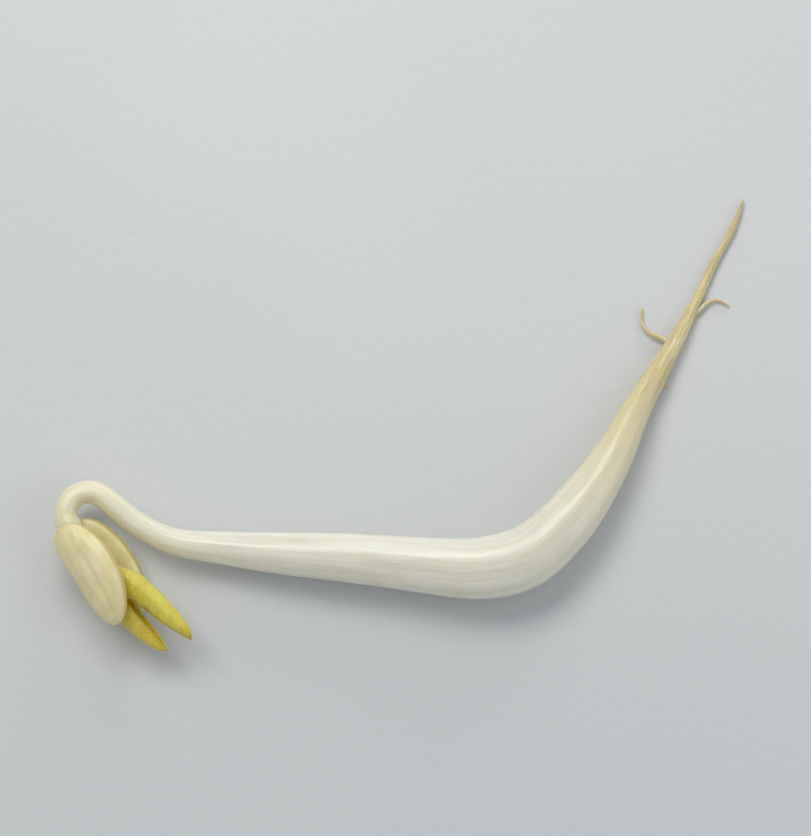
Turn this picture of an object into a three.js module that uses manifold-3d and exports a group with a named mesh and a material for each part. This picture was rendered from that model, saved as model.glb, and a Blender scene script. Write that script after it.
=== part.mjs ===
// A mung bean sprout, lying on its side as it would on a table.
//
// A plump white stem thins to a root at one end and to a hooked neck at the other. On the hook sit
// two seed leaves, face to face like the halves of a bean, and two folded first leaves come out
// between them. Millimetres, +Z up, +X from the head towards the root. The origin is under the
// middle of the sprout, on the surface that it lies on.

import * as THREE from 'three';
import { mergeVertices } from 'three/addons/utils/BufferGeometryUtils.js';
import Module from 'manifold-3d';

const wasm = await Module();
wasm.setup();

// ---------------------------------------------------------------- driving dimensions

// The stem and root from the root's tip to the neck: where the middle line runs, how thick the
// sprout is there, and how far its underside clears the surface. Below nought it is pressed flat.
const COURSE = [
  { x: 21.47, y: 14.43, thick: 0.18, clear: 0.16 },
  { x: 20.74, y: 12.48, thick: 0.38, clear: 0.03 },
  { x: 19.49, y: 10.28, thick: 0.50, clear: 0.00 },
  { x: 18.49, y: 8.13, thick: 0.62, clear: -0.05 },
  { x: 17.06, y: 5.35, thick: 1.00, clear: -0.06 },
  { x: 15.49, y: 2.68, thick: 1.40, clear: 0.02 },
  { x: 14.20, y: 0.38, thick: 1.90, clear: 0.10 },
  { x: 12.99, y: -2.02, thick: 2.45, clear: 0.12 },
  { x: 11.49, y: -4.42, thick: 3.02, clear: 0.06 },
  { x: 9.69, y: -6.67, thick: 3.50, clear: -0.04 },
  { x: 7.34, y: -8.62, thick: 3.86, clear: -0.12 },
  { x: 4.39, y: -9.32, thick: 3.78, clear: -0.12 },
  { x: 0.69, y: -9.07, thick: 3.38, clear: 0.00 },
  { x: -3.31, y: -8.67, thick: 3.02, clear: 0.12 },
  { x: -7.31, y: -8.37, thick: 2.62, clear: 0.18 },
  { x: -11.21, y: -8.02, thick: 2.05, clear: 0.30 },
  { x: -14.31, y: -7.57, thick: 1.62, clear: 0.62 },
  { x: -16.41, y: -6.60, thick: 1.48, clear: 0.95 },
  { x: -17.91, y: -5.44, thick: 1.44, clear: 1.15 },
];

// The hook that carries the head: an arc that starts where the neck ends.
const HOOK_START = { x: -18.56, y: -4.92 };
const HOOK_RADIUS = 1.40;
const HOOK_THICK = 1.42;
const HOOK_FROM = 140;         // heading of the neck, in degrees from +X
const HEAD_HEADING = 304;      // heading of the head, in degrees from +X
const HEAD_HEIGHT = 2.10;      // height of the node that the seed leaves grow from
const CLIMB_FROM = -0.2;       // its climb eases in from here, in shares of the hook past its start
const HEAD_DIP = 3;            // the head's far end dips, in degrees
const HEAD_ROLL = 24;          // the head leans over, in degrees, so both seed leaves show from above

// The node past the hook and the short shoot that stands on it: distance along, and thickness.
const SHOOT = [
  { along: 0.00, thick: 1.56 },
  { along: 0.45, thick: 1.34 },
  { along: 0.90, thick: 0.96 },
  { along: 1.50, thick: 0.82 },
  { along: 2.20, thick: 0.78 },
];

const SEED_LEAF_LENGTH = 7.0;
const SEED_LEAF_WIDTH = 2.9;
const SEED_LEAF_THICK = 1.36;
const SEED_LEAF_START = -0.15; // its base end reaches back past the node
const SEED_LEAF_INSIDE = 0.46; // from the middle of the head to its inner face, at its base end
const SEED_LEAF_SPREAD = 5.5;  // each opens by this angle, in degrees
const SEED_LEAF_BOW = 0.45;    // its sides bow towards the stem
const SEED_LEAF_RIM = 0.34;    // share of its thickness on the inner side of its widest line
const CLEARANCE = 0.14;        // between the pieces of the head

// Powers that shape the half bean. Lower ones make its inner face, its dome and its thickness near the
// ends fuller. The skew moves its fullest place towards its base end, and the last squares its ends.
const FACE_POWER = 0.4;
const DOME_POWER = 0.85;
const THINNING_POWER = 0.8;
const SKEW_POWER = 0.88;
const ENDS_POWER = 2.5;

const FIRST_LEAF_START = 2.35;
const FOLD_RADIUS = 0.35;      // of the middle of the blade round its midrib
const FOLD_SHARE = 0.5;        // share of the blade's points that go round the fold
const BLADE_THICK = 0.60;
const BLADE_SPLAY = 9;         // each half of a folded blade opens by this angle, in degrees
const MARGIN_WAVE = 0.10;      // height of the margins' waves, as a share of the blade's reach
const MARGIN_PACE = 2.3;       // radians of a wave for each millimetre of the leaf

// A first leaf's outline along its length, in shares of it: where its stalk starts to widen, where the
// blade is full and where it starts to narrow, with the powers of the narrowing.
const STALK_WIDENS = 0.02;
const BLADE_FULL = 0.42;
const BLADE_NARROWS = 0.35;
const POINT_POWER = 2.2;
const TAPER_POWER = 0.75;

const STALK_SIZE = 0.46;       // the fold's size in the stalk, as a share of its size in the blade
const TIP_SIZE = 0.25;         // and at the leaf's tip
const STALK_OFFSET = 0.14;     // from the leaf's middle line to its fold, in the stalk
const BLADE_OFFSET = 0.68;     // and in the blade
const STALK_END = { x: -0.05, y: 0.26 };
const LEAF_POINT = { x: 0.12, y: 0.20 };

// Side roots: share of the way from the root's tip to the neck, heading, length and thickness.
// Each is thicker where it leaves the root, by the flare, and thins to its tip, by the taper.
const SIDE_ROOTS = [
  { share: 0.155, heading: 8, length: 2.6, thick: 0.34 },
  { share: 0.200, heading: 122, length: 3.2, thick: 0.36 },
  { share: 0.268, heading: 14, length: 1.7, thick: 0.36 },
];
const SIDE_ROOT_FLARE = 0.45;
const FLARE_POWER = 6;
const SIDE_ROOT_TAPER = 0.6;
const SIDE_ROOT_SWING = 26;    // it swings off its heading by this angle, in degrees
const SWING_PACE = 3;          // radians of the swing from its start to its tip
const SIDE_ROOT_HEIGHT = 0.5;  // of its tip's middle line, in thicknesses

const BLUNTNESS = 0.3;         // a rod's end reaches this share of its thickness past its last ring
const WELD = 1e-5;             // points nearer than this are one

const STEM_SIDES = 18;
const STEM_STEPS = 6;          // from one stop of the course to the next
const HOOK_STOPS = 6;
const HOOK_STEPS = 2;
const SIDE_ROOT_SIDES = 8;
const SIDE_ROOT_STOPS = 5;
const SIDE_ROOT_STEPS = 2;
const SEED_LEAF_SIDES = 24;
const SEED_LEAF_STEPS = 18;
const BLADE_POINTS = 11;       // across a blade, from margin to margin
const BLADE_STEPS = 26;

const UP = new THREE.Vector3(0, 0, 1);
const radians = THREE.MathUtils.degToRad;

// ---------------------------------------------------------------- materials

const stemWhite = new THREE.MeshStandardMaterial({ color: 0xe4e1cf, roughness: 0.38 });
const seedLeafCream = new THREE.MeshStandardMaterial({ color: 0xddcf9c, roughness: 0.5 });
const leafYellow = new THREE.MeshStandardMaterial({ color: 0xd3bf3f, roughness: 0.5 });

// ---------------------------------------------------------------- shapes

// A closed skin over rings of points, with a point at each end. Past the fold, rings are split the
// other way, so that both faces of a thin blade have their triangles alike.
function loft(rings, firstPole, lastPole, fold = Infinity) {
  const sides = rings[0].length;
  const positions = [...rings.flat(), firstPole, lastPole].flatMap((point) => point.toArray());
  const first = rings.length * sides;
  const faces = [];
  for (let side = 0; side < sides; side += 1) {
    const next = (side + 1) % sides;
    faces.push(first, next, side);
    for (let step = 0; step + 1 < rings.length; step += 1) {
      const here = step * sides;
      const there = here + sides;
      const corners = [here + side, here + next, there + next, there + side];
      const [a, b, c, d] = side < fold ? corners : [...corners.slice(1), corners[0]];
      faces.push(a, b, c, a, c, d);
    }
    const end = (rings.length - 1) * sides;
    faces.push(end + side, end + next, first + 1);
  }
  const geometry = new THREE.BufferGeometry();
  geometry.setAttribute('position', new THREE.Float32BufferAttribute(positions, 3));
  geometry.setIndex(faces);
  geometry.computeVertexNormals();
  return geometry;
}

// A round rod along a course of { place, thick }, with blunt ends, flat where it meets the surface.
// A stop's steps are how many rings lie between it and the next.
function rod(course, sides) {
  const middle = new THREE.CatmullRomCurve3(course.map((stop) => stop.place), false, 'centripetal');
  const girth = new THREE.SplineCurve(course.map((stop, i) => new THREE.Vector2(i, stop.thick / 2)));
  const last = course.length - 1;
  const stations = course.slice(0, last).flatMap(({ steps }, i) => (
    Array.from({ length: steps }, (_, step) => (i + step / steps) / last)));
  const rings = [...stations, 1].map((at) => {
    const centre = middle.getPoint(at);
    const along = middle.getTangent(at);
    const across = new THREE.Vector3().crossVectors(UP, along).normalize();
    const over = new THREE.Vector3().crossVectors(along, across);
    const radius = girth.getPoint(at).y;
    return Array.from({ length: sides }, (_, side) => {
      const turn = 2 * Math.PI * (side + 0.5) / sides - Math.PI / 2;
      const point = centre.clone()
        .addScaledVector(across, radius * Math.cos(turn))
        .addScaledVector(over, radius * Math.sin(turn));
      point.z = Math.max(point.z, 0);
      return point;
    });
  });
  const poles = [0, 1].map((at) => middle.getPoint(at)
    .addScaledVector(middle.getTangent(at), (2 * at - 1) * BLUNTNESS * course[at * last].thick));
  return loft(rings, poles[0], poles[1]);
}

function toSolid(geometry) {
  const bare = geometry.clone();
  bare.deleteAttribute('normal');
  const merged = mergeVertices(bare, WELD);
  return new wasm.Manifold(new wasm.Mesh({
    numProp: 3,
    vertProperties: new Float32Array(merged.attributes.position.array),
    triVerts: new Uint32Array(merged.index.array),
  }));
}

function toGeometry(solid) {
  const mesh = solid.getMesh();
  const geometry = new THREE.BufferGeometry();
  geometry.setAttribute('position', new THREE.BufferAttribute(mesh.vertProperties, 3));
  geometry.setIndex(new THREE.BufferAttribute(mesh.triVerts, 1));
  geometry.computeVertexNormals();
  return geometry;
}

// ---------------------------------------------------------------- stem and root

function stemStops() {
  return COURSE.map(({ x, y, thick, clear }) => (
    { place: new THREE.Vector3(x, y, thick / 2 + clear), thick, steps: STEM_STEPS }));
}

// The arc of the hook. It climbs from the neck's height to the head's.
function hookStops() {
  const neck = COURSE[COURSE.length - 1];
  const neckHeight = neck.thick / 2 + neck.clear;
  const centre = new THREE.Vector2(0, HOOK_RADIUS)
    .rotateAround(new THREE.Vector2(), radians(HOOK_FROM))
    .add(HOOK_START);
  return Array.from({ length: HOOK_STOPS + 1 }, (_, i) => {
    const share = i / HOOK_STOPS;
    const bearing = radians(THREE.MathUtils.lerp(HOOK_FROM, HEAD_HEADING, share) - 90);
    const climb = THREE.MathUtils.smoothstep(share, CLIMB_FROM, 1);
    return {
      place: new THREE.Vector3(
        centre.x + HOOK_RADIUS * Math.cos(bearing),
        centre.y + HOOK_RADIUS * Math.sin(bearing),
        THREE.MathUtils.lerp(neckHeight, HEAD_HEIGHT, climb)),
      thick: HOOK_THICK,
      steps: HOOK_STEPS,
    };
  });
}

function shootStops(node) {
  const heading = radians(HEAD_HEADING);
  const dip = radians(HEAD_DIP);
  const ahead = new THREE.Vector3(
    Math.cos(heading) * Math.cos(dip), Math.sin(heading) * Math.cos(dip), -Math.sin(dip));
  return SHOOT.map(({ along, thick }) => (
    { place: node.clone().addScaledVector(ahead, along), thick, steps: HOOK_STEPS }));
}

// The whole main axis of the sprout, made fatter by some margin.
function axis(margin) {
  const hook = hookStops();
  const node = hook.pop().place;
  const course = [...stemStops(), ...hook, ...shootStops(node)];
  return rod(course.map((stop) => ({ ...stop, thick: stop.thick + 2 * margin })), STEM_SIDES);
}

function stemAndRoot() {
  const middle = new THREE.CatmullRomCurve3(
    stemStops().map((stop) => stop.place), false, 'centripetal');
  const solid = SIDE_ROOTS.reduce(
    (joined, root) => joined.add(toSolid(sideRoot(middle.getPointAt(root.share), root))),
    toSolid(axis(0)));
  return toGeometry(solid);
}

// A short side root: it leaves the main root level, swings aside and back, and ends in a point.
function sideRoot(from, { heading, length, thick }) {
  const stops = Array.from({ length: SIDE_ROOT_STOPS }, (_, i) => {
    const share = i / (SIDE_ROOT_STOPS - 1);
    const way = radians(heading + SIDE_ROOT_SWING * Math.sin(SWING_PACE * share));
    const girth = 1 - SIDE_ROOT_TAPER * share + SIDE_ROOT_FLARE * Math.pow(1 - share, FLARE_POWER);
    const place = new THREE.Vector3(
      from.x + share * length * Math.cos(way),
      from.y + share * length * Math.sin(way),
      THREE.MathUtils.lerp(from.z, thick * SIDE_ROOT_HEIGHT, share));
    return { place, thick: thick * girth, steps: SIDE_ROOT_STEPS };
  });
  return rod(stops, SIDE_ROOT_SIDES);
}

// ---------------------------------------------------------------- seed leaves

// Half a bean, from its base end to its round far end: flat towards its twin, domed outside. It lies
// along +X with its flat face down, or up for the lower one.
function seedLeaf(over) {
  const rings = [];
  for (let step = 1; step < SEED_LEAF_STEPS; step += 1) {
    const share = (1 - Math.cos(Math.PI * step / SEED_LEAF_STEPS)) / 2;
    const { fullness, bow } = seedLeafOutline(share);
    rings.push(Array.from({ length: SEED_LEAF_SIDES }, (_, side) => {
      const turn = 2 * Math.PI * side / SEED_LEAF_SIDES;
      const rise = Math.sin(turn) * over;
      const dome = (1 - SEED_LEAF_RIM) * Math.pow(Math.max(rise, 0), DOME_POWER);
      const face = SEED_LEAF_RIM * Math.pow(Math.max(-rise, 0), FACE_POWER);
      const height = Math.pow(fullness, THINNING_POWER) * (dome - face);
      return new THREE.Vector3(
        share * SEED_LEAF_LENGTH,
        bow + fullness * SEED_LEAF_WIDTH / 2 * Math.cos(turn),
        over * SEED_LEAF_THICK * (SEED_LEAF_RIM + height));
    }));
  }
  const poles = [0, 1].map((share) => new THREE.Vector3(
    share * SEED_LEAF_LENGTH, seedLeafOutline(share).bow, over * SEED_LEAF_THICK * SEED_LEAF_RIM));
  return loft(rings, poles[0], poles[1]);
}

// How full a seed leaf is, at a share of its length, and how far its middle bows aside.
function seedLeafOutline(share) {
  const stretch = Math.abs(2 * Math.pow(share, SKEW_POWER) - 1);
  return {
    fullness: Math.sqrt(1 - Math.pow(stretch, ENDS_POWER)),
    bow: SEED_LEAF_BOW * Math.sin(Math.PI * share),
  };
}

// A seed leaf's mesh with room cut out for the node and shoot that it clasps.
function clasp(mesh) {
  mesh.updateWorldMatrix(true, false);
  const neighbour = axis(CLEARANCE).applyMatrix4(mesh.matrixWorld.clone().invert());
  mesh.geometry = toGeometry(toSolid(mesh.geometry).subtract(toSolid(neighbour)));
}

// Presses flat whatever of a placed mesh would reach below the surface.
function pressOnSurface(mesh) {
  mesh.updateWorldMatrix(true, false);
  const back = mesh.matrixWorld.clone().invert();
  const positions = mesh.geometry.attributes.position;
  const point = new THREE.Vector3();
  for (let i = 0; i < positions.count; i += 1) {
    point.fromBufferAttribute(positions, i).applyMatrix4(mesh.matrixWorld);
    if (point.z < 0) {
      point.setZ(0).applyMatrix4(back);
      positions.setXYZ(i, point.x, point.y, point.z);
    }
  }
}

// ---------------------------------------------------------------- first leaves

// A leaf folded along its midrib. It lies along +X, with the midrib towards +Y and the margins towards
// -Y. Its stalk widens into a blade with waved margins, which narrows to a point.
function firstLeaf({ length, arm, bend }) {
  const rings = [];
  const placeAt = (share) => new THREE.Vector3(share * length, bend * share * share * length, 0);
  for (let step = 0; step <= BLADE_STEPS; step += 1) {
    const share = step / BLADE_STEPS;
    const spread = THREE.MathUtils.smoothstep(share, STALK_WIDENS, BLADE_FULL);
    const past = Math.max(share - BLADE_NARROWS, 0) / (1 - BLADE_NARROWS);
    const taper = Math.pow(1 - Math.pow(past, POINT_POWER), TAPER_POWER);
    const size = THREE.MathUtils.lerp(STALK_SIZE, 1, spread) * THREE.MathUtils.lerp(TIP_SIZE, 1, taper);
    const reach = arm * spread * taper;
    const midrib = THREE.MathUtils.lerp(STALK_OFFSET, BLADE_OFFSET, spread * taper);
    const wave = MARGIN_WAVE * reach * Math.sin(MARGIN_PACE * share * length);
    const outer = [];
    const inner = [];
    for (let i = 0; i < BLADE_POINTS; i += 1) {
      const across = 2 * i / (BLADE_POINTS - 1) - 1;
      const { y, z, outY, outZ } = foldedStrip(across, reach / size);
      const lift = wave * across * across;
      const half = BLADE_THICK / 2;
      outer.push(new THREE.Vector3(
        0, midrib + size * (y + half * outY), size * (z + half * outZ) + lift));
      inner.unshift(new THREE.Vector3(
        0, midrib + size * (y - half * outY), size * (z - half * outZ) + lift));
    }
    rings.push([...outer, ...inner].map((point) => point.add(placeAt(share))));
  }
  const poles = [
    placeAt(0).add(new THREE.Vector3(STALK_END.x, STALK_END.y, 0)),
    placeAt(1).add(new THREE.Vector3(LEAF_POINT.x, LEAF_POINT.y, 0)),
  ];
  return loft(rings, poles[0], poles[1], BLADE_POINTS);
}

// The middle of a folded blade in section, from one margin (-1) over the midrib (0) to the other (1):
// an arc round the midrib, then straight arms. Also gives the way that faces out.
function foldedStrip(across, arm) {
  const splay = radians(BLADE_SPLAY);
  const side = Math.sign(across);
  const reach = Math.abs(across);
  const turn = Math.min(reach / FOLD_SHARE, 1) * (Math.PI / 2 - splay);
  const out = Math.max(reach / FOLD_SHARE - 1, 0) * arm;
  return {
    y: FOLD_RADIUS * Math.cos(turn) - out * Math.cos(splay),
    z: side * (FOLD_RADIUS * Math.sin(turn) + out * Math.sin(splay)),
    outY: Math.cos(turn),
    outZ: side * Math.sin(turn),
  };
}

// ---------------------------------------------------------------- assembly

function named(name, geometry, material) {
  const mesh = new THREE.Mesh(geometry, material);
  mesh.name = name;
  return mesh;
}

const sprout = new THREE.Group();
sprout.add(named('stem_and_root', stemAndRoot(), stemWhite));

// The head's frame: its origin is the node, +X runs to the far end of the seed leaves, +Y is the side
// towards the stem, and the seed leaves lie above and below its XY plane.
const head = new THREE.Group();
head.position.copy(hookStops().pop().place);
head.rotation.set(radians(HEAD_ROLL), radians(HEAD_DIP), radians(HEAD_HEADING), 'ZYX');
sprout.add(head);

const SEED_LEAVES = [
  { name: 'seed_leaf_upper', over: 1 },
  { name: 'seed_leaf_lower', over: -1 },
];
for (const { name, over } of SEED_LEAVES) {
  const mesh = named(name, seedLeaf(over), seedLeafCream);
  mesh.position.set(SEED_LEAF_START, 0, over * SEED_LEAF_INSIDE);
  mesh.rotation.y = -over * radians(SEED_LEAF_SPREAD);
  head.add(mesh);
  clasp(mesh);
  pressOnSurface(mesh);
}

// Each first leaf's side of the head, its lean towards the stem in degrees, its length, the reach of
// its blade from the fold to the margins, and how far its tip curves aside, as a share of the length.
const FIRST_LEAVES = [
  { name: 'first_leaf_inner', side: 1, lean: 16, length: 8.1, arm: 0.86, bend: 0.040 },
  { name: 'first_leaf_outer', side: -1, lean: 9, length: 7.4, arm: 0.80, bend: 0.015 },
];
for (const { name, side, lean, ...shape } of FIRST_LEAVES) {
  const mesh = named(name, firstLeaf(shape), leafYellow);
  mesh.position.set(FIRST_LEAF_START, 0, 0);
  // the outer leaf is turned over about its length, so its midrib is on the other side
  mesh.rotation.set(side > 0 ? 0 : Math.PI, 0, radians(lean), 'ZYX');
  head.add(mesh);
}

export default sprout;
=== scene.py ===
"""A mung bean sprout, lying on its side on a pale table.

The solids are the frame. A finer skin stands for each of them here, made by the same rules and in the
same place: the plump stem with its hooked neck and root, two seed leaves and two folded first leaves.
The side roots, the bud between the leaves and the leaves' hairs are pieces of their own.
Sizes are in millimetres and turns in degrees until a mesh is made, in metres.
"""

import logging
import math
from dataclasses import dataclass, field
from enum import Enum

import bpy
import numpy as np
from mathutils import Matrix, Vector, noise


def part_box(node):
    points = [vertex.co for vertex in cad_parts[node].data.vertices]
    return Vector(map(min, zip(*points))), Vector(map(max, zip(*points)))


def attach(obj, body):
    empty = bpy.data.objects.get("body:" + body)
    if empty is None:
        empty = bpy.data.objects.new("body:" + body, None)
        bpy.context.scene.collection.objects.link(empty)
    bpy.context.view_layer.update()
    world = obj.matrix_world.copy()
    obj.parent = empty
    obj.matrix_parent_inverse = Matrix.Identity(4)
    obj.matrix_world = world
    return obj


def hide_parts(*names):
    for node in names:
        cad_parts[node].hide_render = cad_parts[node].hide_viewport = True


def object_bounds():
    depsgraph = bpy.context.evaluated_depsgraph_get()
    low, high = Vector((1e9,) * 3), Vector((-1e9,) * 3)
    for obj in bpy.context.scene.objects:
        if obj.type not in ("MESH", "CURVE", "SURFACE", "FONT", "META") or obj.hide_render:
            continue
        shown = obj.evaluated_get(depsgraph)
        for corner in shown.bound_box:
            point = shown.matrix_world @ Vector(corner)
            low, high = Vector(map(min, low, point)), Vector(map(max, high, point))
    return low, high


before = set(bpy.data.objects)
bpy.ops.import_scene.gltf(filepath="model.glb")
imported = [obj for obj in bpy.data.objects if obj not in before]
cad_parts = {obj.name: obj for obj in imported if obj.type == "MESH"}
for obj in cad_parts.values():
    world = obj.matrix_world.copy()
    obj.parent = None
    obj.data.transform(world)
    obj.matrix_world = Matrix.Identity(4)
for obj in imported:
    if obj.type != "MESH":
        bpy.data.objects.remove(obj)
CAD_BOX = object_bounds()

LOG = logging.getLogger("sprout")
Array = np.ndarray
Socket = bpy.types.NodeSocket
Tint = tuple[float, float, float]
Spot = tuple[float, float, float]
Pair = tuple[float, float]

MM = 0.001
UP = np.array([0.0, 0.0, 1.0])
NOISES_APART = 17.3 * np.array([1.0, -0.7, 0.4])  # from one seed's noise to the next
NOISE_SPREAD = (0.3, 0.7)  # most of a finish's noise lies between these
END_SHARE = 0.01  # of a rod's cap is left out, so that its last ring has some width
END_POINT = 0.01  # from a rod's end to its point, in millimetres
PICTURE = (811, 836)  # the picture's width and height, in pixels


# ---------------------------------------------------------------- numbers and places


def eased(value: Array, low: float, high: float) -> Array:
    """A smooth rise from 0 to 1.

    Args:
        value: where to take it.
        low: where the rise starts.
        high: where it ends.

    Returns:
        The rise at each value.
    """
    share = np.clip((value - low) / (high - low), 0, 1)
    return share * share * (3 - 2 * share)


def bell(value: Array, middle: float, width: float) -> Array:
    """A smooth bump, 1 at its middle.

    Args:
        value: where to take it.
        middle: where the bump is.
        width: how far from its middle it falls to about a third.

    Returns:
        The bump's height at each value.
    """
    return np.exp(-(((value - middle) / width) ** 2))


def between(low: float, high: float, share: Array) -> Array:
    """The value at a share of the way from low to high."""
    return low + (high - low) * share


def mottle(points: Array, pitch: float, seed: int) -> Array:
    """Smooth seeded noise in space.

    Args:
        points: where to take it, with x, y and z on the last axis.
        pitch: the rough distance from one blot to the next.
        seed: which of many noises.

    Returns:
        A number from about -1 to 1 for each point.
    """
    rows = points.reshape(-1, 3) / pitch + seed * NOISES_APART
    return np.array([noise.noise(row) for row in rows]).reshape(points.shape[:-1])


@dataclass(frozen=True)
class Uneven:
    """Seeded unevenness: its height, the pitch of its blots, which noise, and how it is squeezed."""

    height: float
    pitch: float
    seed: int
    squeeze: Spot = (1.0, 1.0, 1.0)

    def at(self, points: Array) -> Array:
        """Its height at these points."""
        return self.height * mottle(points * self.squeeze, self.pitch, self.seed)


def turned(roll: float = 0, dip: float = 0, heading: float = 0) -> Array:
    """A rotation matrix, from turns in degrees that are made in this order.

    Args:
        roll: the turn about X.
        dip: the turn about Y.
        heading: the turn about Z.

    Returns:
        The matrix.
    """
    (cx, sx), (cy, sy), (cz, sz) = (
        (math.cos(a), math.sin(a)) for a in map(math.radians, (roll, dip, heading))
    )
    about_x = np.array([[1, 0, 0], [0, cx, -sx], [0, sx, cx]])
    about_y = np.array([[cy, 0, sy], [0, 1, 0], [-sy, 0, cy]])
    about_z = np.array([[cz, -sz, 0], [sz, cz, 0], [0, 0, 1]])
    return about_z @ about_y @ about_x


@dataclass(frozen=True)
class Seat:
    """Where a part sits: its own frame's place and turn in the sprout's frame."""

    place: Array
    turn: Array

    def out(self, points: Array) -> Array:
        """Points given in this frame, in the sprout's."""
        return points @ self.turn.T + self.place

    def seat(self, place: Spot, turn: Array) -> "Seat":
        """A further frame placed and turned inside this one."""
        return Seat(self.out(np.array(place, float)), self.turn @ turn)


def hermite(ends: tuple[Array, Array], slopes: tuple[Array, Array], share: Array) -> Array:
    """A cubic from one value to the next.

    Args:
        ends: the two values.
        slopes: the slopes that it leaves and arrives with.
        share: how far between them, from 0 to 1.

    Returns:
        The value at each share.
    """
    (a, b), (leave, arrive) = ends, slopes
    cubic = 2 * a - 2 * b + leave + arrive
    square = -3 * a + 3 * b - 2 * leave - arrive
    return ((cubic * share + square) * share + leave) * share + a


class Course:
    """A smooth line through stops, with a thickness that changes along it.

    A position on it is counted in stops, so 1.5 is between stop 1 and stop 2.
    """

    SAMPLES = 40
    NEARBY = 0.001

    def __init__(self, places: Array, thick: Array) -> None:
        """Keeps the stops and measures the line.

        Args:
            places: the stops, one row each.
            thick: the thickness at each stop.
        """
        self.last = len(places) - 1
        self.places = np.vstack([2 * places[0] - places[1], places, 2 * places[-1] - places[-2]])
        self.thick = np.concatenate([thick[:1], thick, thick[-1:]])
        self.fine = np.linspace(0, self.last, self.last * self.SAMPLES + 1)
        steps = np.linalg.norm(np.diff(self.place(self.fine), axis=0), axis=1)
        self.lengths = np.concatenate([[0], np.cumsum(steps)])
        self.length = self.lengths[-1]

    def window(self, at: Array, values: Array) -> tuple[Array, list[Array]]:
        """The stop before each position, and the values at the four stops round it."""
        first = np.clip(np.floor(at).astype(int), 0, self.last - 1)
        return first, [values[first + i] for i in range(4)]

    def place(self, at: Array) -> Array:
        """The points of the line, which leaves each stop at a pace that suits the steps beside it.

        Args:
            at: the positions.

        Returns:
            A row for each.
        """
        first, (before, start, end, after) = self.window(at, self.places)
        pace = [
            np.sqrt(np.linalg.norm(b - a, axis=1))[:, None]
            for a, b in ((before, start), (start, end), (end, after))
        ]
        middle = (end - start) / pace[1]
        leave = (start - before) / pace[0] - (end - before) / (pace[0] + pace[1]) + middle
        arrive = middle - (after - start) / (pace[1] + pace[2]) + (after - end) / pace[2]
        slopes = (leave * pace[1], arrive * pace[1])
        return hermite((start, end), slopes, (at - first)[:, None])

    def radius(self, at: Array) -> Array:
        """Half the thickness at these positions."""
        first, (before, start, end, after) = self.window(at, self.thick / 2)
        return hermite((start, end), ((end - before) / 2, (after - start) / 2), at - first)

    def axes(self, at: Array) -> tuple[Array, Array, Array]:
        """The line's own directions.

        Args:
            at: the positions.

        Returns:
            The ways along the line, level across it and over it, with a row for each position.
        """
        ahead, behind = np.minimum(at + self.NEARBY, self.last), np.maximum(at - self.NEARBY, 0)
        along = self.place(ahead) - self.place(behind)
        along /= np.linalg.norm(along, axis=1)[:, None]
        across = np.cross(UP, along)
        across /= np.linalg.norm(across, axis=1)[:, None]
        return along, across, np.cross(along, across)

    def length_at(self, at: Array) -> Array:
        """How far along the line these positions are, in millimetres."""
        return np.interp(at, self.fine, self.lengths)

    def at_length(self, length: Array) -> Array:
        """The positions this many millimetres along the line."""
        return np.interp(length, self.lengths, self.fine)


# ---------------------------------------------------------------- meshes


@dataclass
class Skin:
    """A closed skin over rings of points, in millimetres, with a point at each end.

    Its marks are numbers or vectors kept at the ring points, which finishes read by name.
    """

    rings: Array
    poles: tuple[Array, Array]
    marks: dict[str, Array] = field(default_factory=dict)

    def faces(self) -> list[tuple[int, ...]]:
        """The skin's faces: quads between rings, and a fan of triangles at each end."""
        steps, sides = self.rings.shape[:2]
        here = np.arange(steps - 1)[:, None] * sides
        side = np.arange(sides)[None, :]
        ahead = (side + 1) % sides
        quads = np.stack([here + side, here + ahead, here + sides + ahead, here + sides + side], -1)
        first, end = steps * sides, (steps - 1) * sides
        near = [(first, (i + 1) % sides, i) for i in range(sides)]
        far = [(end + i, end + (i + 1) % sides, first + 1) for i in range(sides)]
        return [tuple(quad) for quad in quads.reshape(-1, 4).tolist()] + near + far

    def piece(self, name: str) -> bpy.types.Object:
        """Makes the skin's object, in metres, with its marks as attributes.

        Args:
            name: the object's name.

        Returns:
            The object.
        """
        points = np.vstack([self.rings.reshape(-1, 3), *self.poles])
        made = mesh_object(name, points, self.faces())
        for mark, values in self.marks.items():
            flat = values.reshape(-1, values.shape[-1]) if values.ndim == 3 else values.reshape(-1, 1)
            ends = [values[i].reshape(-1, flat.shape[1]).mean(0) for i in (0, -1)]
            add_mark(made, mark, np.vstack([flat, *ends]))
        return made


def mesh_object(name: str, points: Array, faces: list[tuple[int, ...]]) -> bpy.types.Object:
    """Makes a smooth mesh object and links it to the scene.

    Args:
        name: the object's name.
        points: its points, in millimetres.
        faces: its faces, as numbers of points.

    Returns:
        The object.
    """
    mesh = bpy.data.meshes.new(name)
    mesh.from_pydata((points * MM).tolist(), [], faces)
    mesh.shade_smooth()
    made = bpy.data.objects.new(name, mesh)
    bpy.context.scene.collection.objects.link(made)
    return made


def add_mark(piece: bpy.types.Object, name: str, values: Array) -> None:
    """Keeps a number or a vector at each point of a piece's mesh.

    Args:
        piece: the piece.
        name: the attribute's name.
        values: a row for each point, with one number or three.
    """
    kind, key = ("FLOAT", "value") if values.shape[1] == 1 else ("FLOAT_VECTOR", "vector")
    attribute = piece.data.attributes.new(name, kind, "POINT")
    attribute.data.foreach_set(key, values.astype(np.float32).ravel())


def rolled_out(length: Array, turn: Array, radius: float) -> Array:
    """A rod's skin laid out in space as a straight round rod, for patterns that follow its bends.

    Args:
        length: each ring's distance along the rod, one to a row.
        turn: the angles of its sides, in radians.
        radius: the round rod's radius.

    Returns:
        The place of each ring point there.
    """
    return np.stack(np.broadcast_arrays(radius * np.cos(turn), radius * np.sin(turn), length), -1)


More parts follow.
